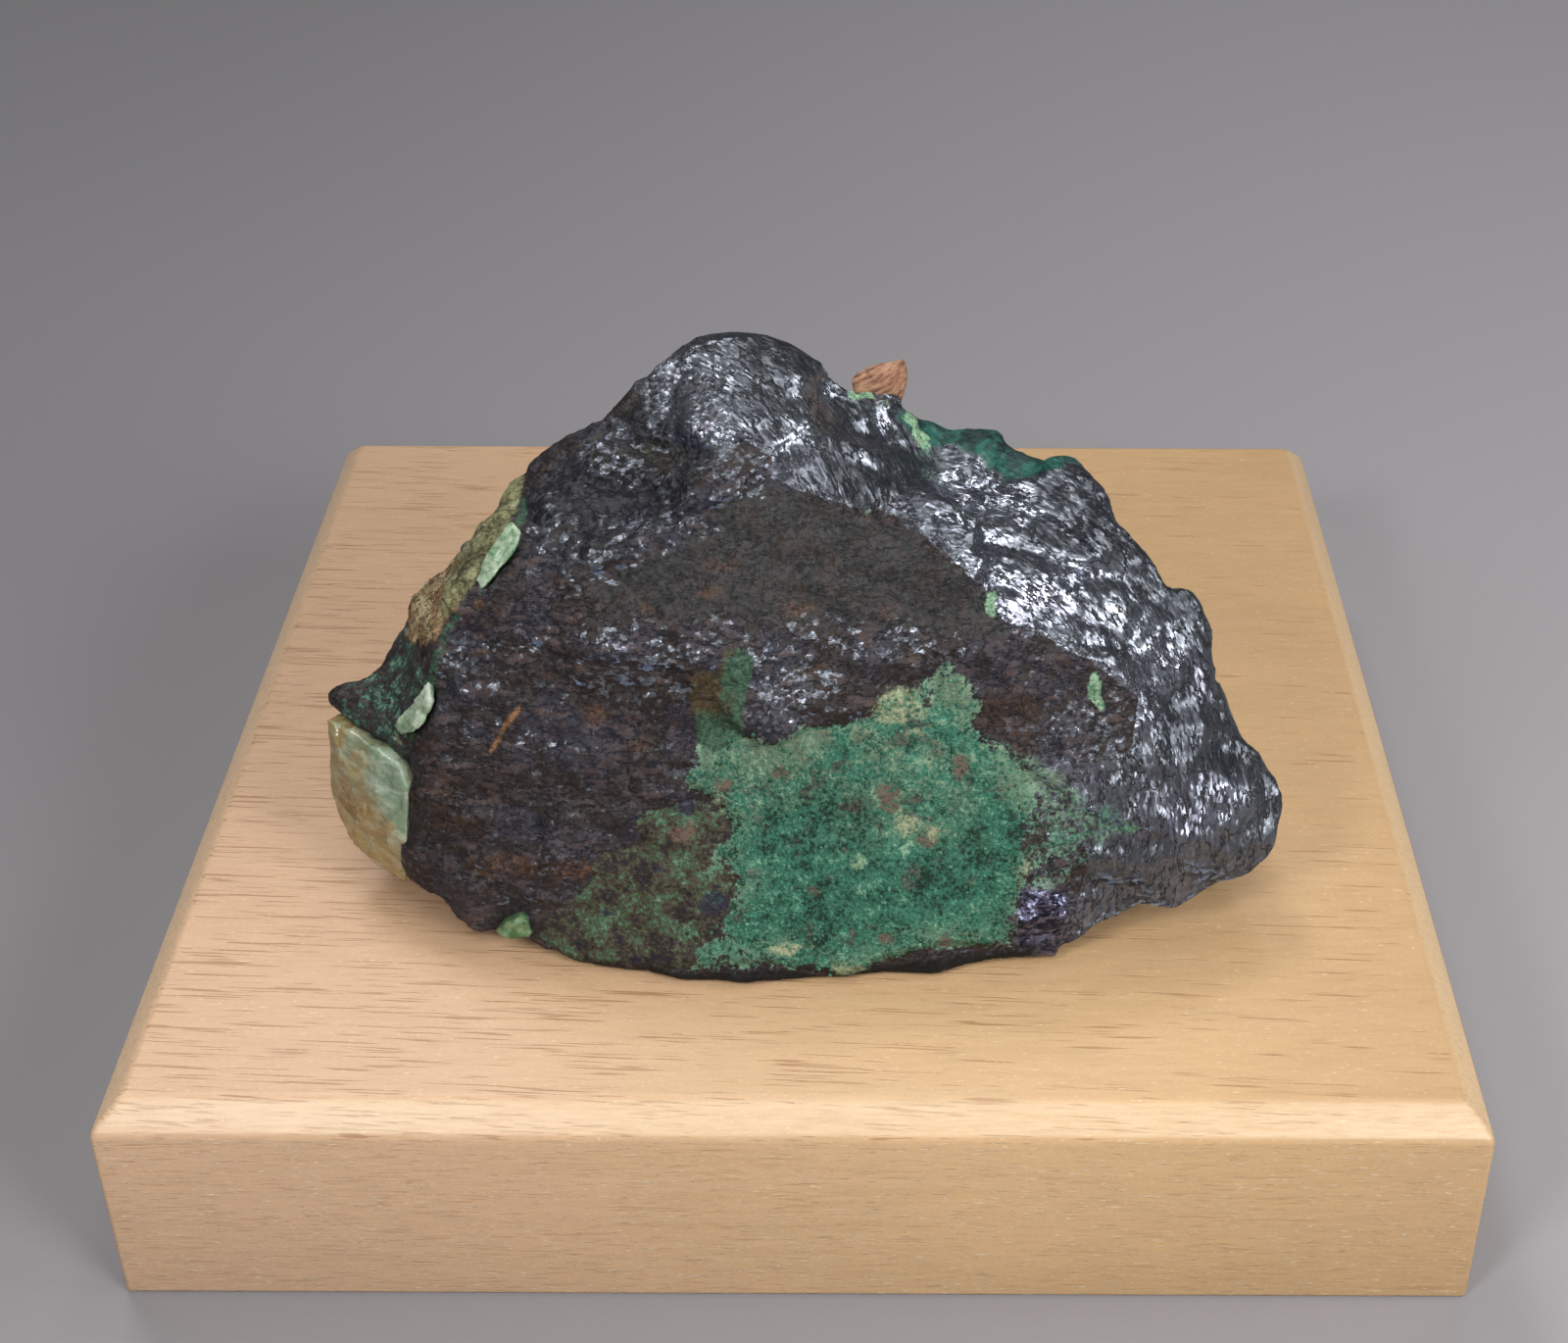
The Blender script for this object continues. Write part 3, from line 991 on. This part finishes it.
def root_mesh(node):
    """A quartz piece's root in the stone: its shape, a little larger and sunk below its face."""
    size, sink = LUMP_ROOT if node == "quartz_lump" else SMALL_ROOT
    low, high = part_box(node)
    inward = (STONE_MIDDLE - (low + high) / 2).normalized()
    bm = node_bmesh(node)
    centre = sum((v.co for v in bm.verts), Vector()) / len(bm.verts)
    for vert in bm.verts:
        vert.co = centre + (vert.co - centre) * size + inward * sink
    return mesh_from(bm, node + "_root")


def build_stone(settings):
    whole = node_bmesh("djurleite_mass")
    for node in QUARTZ_SLOTS:
        root = root_mesh(node)
        whole.from_mesh(root)
        bpy.data.meshes.remove(root)
    stone = add_object("djurleite_stone", mesh_from(whole, "djurleite_skin"))
    even_skin(stone, settings.skin_size, 2)
    places, normals = vertex_arrays(stone.data)
    foot = np.array([0, 0, BLOCK_TOP])
    in_mm = (places - foot) / MM
    relief = stone_relief(in_mm, stone_marks(*in_mm.T), settings)
    moved = places + normals * (relief * MM)[:, None]
    moved[:, 2] = np.maximum(moved[:, 2], BLOCK_TOP + REST_GAP)
    set_places(stone.data, moved)
    in_mm = (moved - foot) / MM
    for name, depth in stone_marks(*in_mm.T).items():
        store(stone.data, name, depth)
    under = smooth_step(0.1, -0.4, vertex_arrays(stone.data)[1][:, 2])
    store(stone.data, "under", under)
    store(stone.data, "off_grain", np.maximum(under, smooth_step(*GRAIN_LIMITS, in_mm[:, 1])))
    store(stone.data, "grain", grain_places(*in_mm.T))
    dress(stone, djurleite_finish(settings), "djurleite", "djurleite_mass")


# --- malachite grains, by Geometry Nodes
# Grains start this far outside the crust's border and are at their densest this far inside, in millimetres.
BORDER = (-0.6, 1.2)
CLUMPS = (0.45, 0.65)
CLUMPS_PER_METRE = 900
SMALLEST_GRAIN = 0.35
ANY_TURN = (6.28, 6.28, 6.28)


def grain_tree():
    """Scatter small solid grains over the crust, fewer towards its border."""
    nodes = Nodes(bpy.data.node_groups.new("malachite grains", "GeometryNodeTree"))
    node, face = nodes.node, nodes.tree.interface
    for name, kind in [("Geometry", "Geometry"), ("Density", "Float"), ("Grain Size", "Float"),
                       ("Seed", "Int"), ("Finish", "Material")]:
        face.new_socket(name, in_out="INPUT", socket_type="NodeSocket" + kind)
    face.new_socket("Geometry", in_out="OUTPUT", socket_type="NodeSocketGeometry")

    given = node("NodeGroupInput")
    seed = given.output("Seed")
    depth = node("GeometryNodeInputNamedAttribute", {"data_type": "FLOAT"}, {"Name": "malachite"})
    clumps = node("ShaderNodeTexNoise", inputs={"Scale": CLUMPS_PER_METRE, "Detail": 3})
    clumped = node("ShaderNodeMapRange", inputs={
        "Value": clumps, "From Min": CLUMPS[0], "From Max": CLUMPS[1]})
    density = nodes.step(depth, *BORDER) * clumped * given.output("Density")
    points = node("GeometryNodeDistributePointsOnFaces", {"distribute_method": "RANDOM"},
                  {"Mesh": given, "Density": density, "Seed": seed})
    grain = node("GeometryNodeMeshIcoSphere", inputs={"Radius": 1, "Subdivisions": 1})
    size = node("FunctionNodeRandomValue", {"data_type": "FLOAT"},
                {2: SMALLEST_GRAIN, 3: 1, "Seed": seed}, 1)
    spin = node("FunctionNodeRandomValue", {"data_type": "FLOAT_VECTOR"},
                {0: (0, 0, 0), 1: ANY_TURN, "Seed": seed})
    placed = node("GeometryNodeInstanceOnPoints", inputs={
        "Points": points, "Instance": grain, "Rotation": spin, "Scale": size * given.output("Grain Size")})
    real = node("GeometryNodeRealizeInstances", inputs={"Geometry": placed})
    coloured = node("GeometryNodeSetMaterial", inputs={"Geometry": real, "Material": given.output("Finish")})
    node("NodeGroupOutput", inputs={"Geometry": coloured})
    return nodes.tree


def build_grains(stone, settings, finish):
    grains = add_object("malachite_grains", stone.data.copy())
    modifier = grains.modifiers.new("grains", "NODES")
    modifier.node_group = grain_tree()
    sockets = {s.name: s.identifier for s in modifier.node_group.interface.items_tree if s.in_out == "INPUT"}
    modifier[sockets["Density"]] = settings.grains_per_area
    modifier[sockets["Grain Size"]] = settings.grain_size
    modifier[sockets["Seed"]] = settings.seed
    modifier[sockets["Finish"]] = finish
    finished_mesh(grains)
    dress(grains, finish, "djurleite")


# --- quartz
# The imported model's gap between a quartz piece and its seat, closed here.
LUMP_GAP = 0.42 * MM
SMALL_GAP = 0.15 * MM


def build_quartz(node, settings, finish):
    bm = node_bmesh(node)
    low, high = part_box(node)
    gap = LUMP_GAP if node == "quartz_lump" else SMALL_GAP
    growth = [1 + 2 * gap / side for side in high - low]
    bmesh.ops.scale(bm, vec=growth, space=Matrix.Translation(-(low + high) / 2), verts=bm.verts)
    piece = add_object(node + "_skin", mesh_from(bm, node + "_skin"))
    even_skin(piece, settings.skin_size, 1)
    places, normals = vertex_arrays(piece.data)
    relief = sum(facet_heights(places / MM, *facets) for facets in QUARTZ_FACETS)
    set_places(piece.data, places + normals * (relief * MM)[:, None])
    dress(piece, finish, QUARTZ_SLOTS[node], node)


# --- block
EASING_STEPS = 3
SHARP_EDGE = math.radians(40)


def build_block(settings):
    bm = bmesh.new()
    bmesh.ops.create_cube(bm, size=1)
    height = BLOCK_TOP - BLOCK_LOW.z
    middle = BLOCK_LOW.z + height / 2
    bmesh.ops.scale(bm, vec=(BLOCK_WIDTH, BLOCK_WIDTH, height), verts=bm.verts)
    bmesh.ops.translate(bm, vec=(0, 0, middle), verts=bm.verts)
    top = [e for e in bm.edges if min(v.co.z for v in e.verts) > middle]
    bmesh.ops.bevel(bm, geom=top, offset=settings.chamfer, segments=1, affect="EDGES")
    bmesh.ops.bevel(
        bm, geom=bm.edges[:], offset=settings.easing, segments=EASING_STEPS, profile=0.5, affect="EDGES")
    block = add_object("display_block_wood", mesh_from(bm, "display_block_wood"))
    block.data.shade_smooth()
    block.data.set_sharp_from_angle(angle=SHARP_EDGE)
    dress(block, hardwood_finish(settings), "pale_hardwood", "display_block")


# --- stage
CAMERA_PLACE = Vector((6.665, -178.42, 143.28)) * MM
CAMERA_YAW = math.radians(0.1144)
CAMERA_TILT = math.radians(90 - 33.8766)
CAMERA_ROLL = math.radians(0.1425)
CAMERA_SHIFT = (-0.06252, -0.00398)
SENSOR_WIDTH = 36
FOCAL_LENGTH = 56.298
NEAREST_SEEN = 0.01
FLOOR_REACH = 2.0
SKY_COLOUR = (0.8, 0.82, 0.88)
SKY_STRENGTH = 0.04
# Each lamp's place and width in metres, and its share of the stage's light. All aim at the stone.
LAMPS = [
    ("window", (-0.25, 0.4, 0.9), 0.25, 3.2),
    ("skylight", (0.14, 0.54, 0.8), 0.16, 0.6),
    ("overhead", (0.0, 0.05, 0.6), 0.3, 0.5),
    ("front right", (0.17, -0.26, 0.2), 0.08, 0.22),
    ("front left", (-0.16, -0.26, 0.26), 0.08, 0.58),
    ("far right", (0.42, -0.4, 0.34), 0.22, 2.2),
    ("front top", (0.0, -0.36, 0.46), 0.2, 0.75),
    ("right", (0.27, -0.06, 0.22), 0.1, 0.22),
]
LAMP_AIM = Vector((0, -10 * MM, BLOCK_TOP + 10 * MM))


def build_camera():
    camera = add_object("camera", bpy.data.cameras.new("camera"))
    camera.data.sensor_width = SENSOR_WIDTH
    camera.data.lens = FOCAL_LENGTH
    camera.data.shift_x, camera.data.shift_y = CAMERA_SHIFT
    camera.data.clip_start = NEAREST_SEEN
    turn = Matrix.Rotation(CAMERA_YAW, 4, "Z") @ Matrix.Rotation(CAMERA_TILT, 4, "X")
    camera.matrix_world = Matrix.Translation(CAMERA_PLACE) @ turn @ Matrix.Rotation(CAMERA_ROLL, 4, "Z")
    bpy.context.scene.camera = camera


def build_lamp(name, place, size, power):
    lamp = add_object(name, bpy.data.lights.new(name, "AREA"))
    lamp.data.size = size
    lamp.data.energy = power
    lamp.location = place
    lamp.rotation_euler = (LAMP_AIM - Vector(place)).to_track_quat("-Z", "Y").to_euler()


def build_stage(settings):
    bm = bmesh.new()
    bmesh.ops.create_grid(bm, x_segments=8, y_segments=8, size=FLOOR_REACH)
    floor = add_object("floor", mesh_from(bm, "floor"))
    floor.data.materials.append(floor_finish(settings))
    for name, place, size, share in LAMPS:
        build_lamp(name, place, size, share * settings.light_power)
    world = bpy.data.worlds.new("room")
    world.use_nodes = True
    sky = world.node_tree.nodes["Background"]
    sky.inputs["Color"].default_value = (*SKY_COLOUR, 1)
    sky.inputs["Strength"].default_value = SKY_STRENGTH
    bpy.context.scene.world = world
    bpy.context.scene.view_settings.view_transform = "Standard"


# --- operators
class SPECIMEN_OT_stage(bpy.types.Operator):
    """Add the floor, the soft lights and the camera"""
    bl_idname = "specimen.stage"
    bl_label = "Stage"

    def execute(self, context):
        build_camera()
        build_stage(context.scene.specimen_stage)
        return {"FINISHED"}


class SPECIMEN_OT_block(bpy.types.Operator):
    """Build the chamfered wooden display block"""
    bl_idname = "specimen.block"
    bl_label = "Display block"

    def execute(self, context):
        build_block(context.scene.specimen_block)
        return {"FINISHED"}


class SPECIMEN_OT_stone(bpy.types.Operator):
    """Build the djurleite stone with its crusts"""
    bl_idname = "specimen.stone"
    bl_label = "Djurleite stone"

    def execute(self, context):
        build_stone(context.scene.specimen_stone)
        return {"FINISHED"}


class SPECIMEN_OT_grains(bpy.types.Operator):
    """Scatter the malachite's grains over its crust"""
    bl_idname = "specimen.grains"
    bl_label = "Malachite grains"

    def execute(self, context):
        stone = bpy.data.objects["djurleite_stone"]
        build_grains(stone, context.scene.specimen_crust, grain_finish(context.scene.specimen_stone))
        return {"FINISHED"}


class SPECIMEN_OT_quartz(bpy.types.Operator):
    """Build the quartz pieces that are set in the stone"""
    bl_idname = "specimen.quartz"
    bl_label = "Quartz"

    def execute(self, context):
        settings = context.scene.specimen_quartz
        finishes = {
            "pale_quartz": clear_quartz_finish(settings), "brown_quartz": brown_quartz_finish(),
            "green_quartz": green_quartz_finish(),
        }
        for node, slot in QUARTZ_SLOTS.items():
            build_quartz(node, settings, finishes[slot])
        return {"FINISHED"}


class SPECIMEN_PT_panel(bpy.types.Panel):
    """Lists the specimen's pieces and their settings"""
    bl_idname = "SPECIMEN_PT_panel"
    bl_label = "Djurleite Specimen"
    bl_space_type = "VIEW_3D"
    bl_region_type = "UI"
    bl_category = "Specimen"

    def draw(self, context):
        for operator, (name, kind) in zip(OPERATORS, SETTINGS.items()):
            self.layout.operator(operator.bl_idname)
            for setting in kind.__annotations__:
                self.layout.prop(getattr(context.scene, name), setting)


# Each operator's settings stand in the same place in the second list.
OPERATORS = [
    SPECIMEN_OT_stage, SPECIMEN_OT_block, SPECIMEN_OT_stone, SPECIMEN_OT_grains, SPECIMEN_OT_quartz,
]
SETTINGS = {
    "specimen_stage": StageSettings, "specimen_block": BlockSettings, "specimen_stone": StoneSettings,
    "specimen_crust": CrustSettings, "specimen_quartz": QuartzSettings,
}
CLASSES = [*SETTINGS.values(), *OPERATORS, SPECIMEN_PT_panel]


def register():
    for cls in CLASSES:
        bpy.utils.register_class(cls)
    for name, group in SETTINGS.items():
        setattr(bpy.types.Scene, name, PointerProperty(type=group))


def unregister():
    for name in SETTINGS:
        delattr(bpy.types.Scene, name)
    for cls in reversed(CLASSES):
        bpy.utils.unregister_class(cls)


def main():
    register()
    bpy.ops.specimen.stage()
    bpy.ops.specimen.block()
    bpy.ops.specimen.stone()
    bpy.ops.specimen.grains()
    bpy.ops.specimen.quartz()
    bpy.context.view_layer.update()


if __name__ == "__main__":
    main()
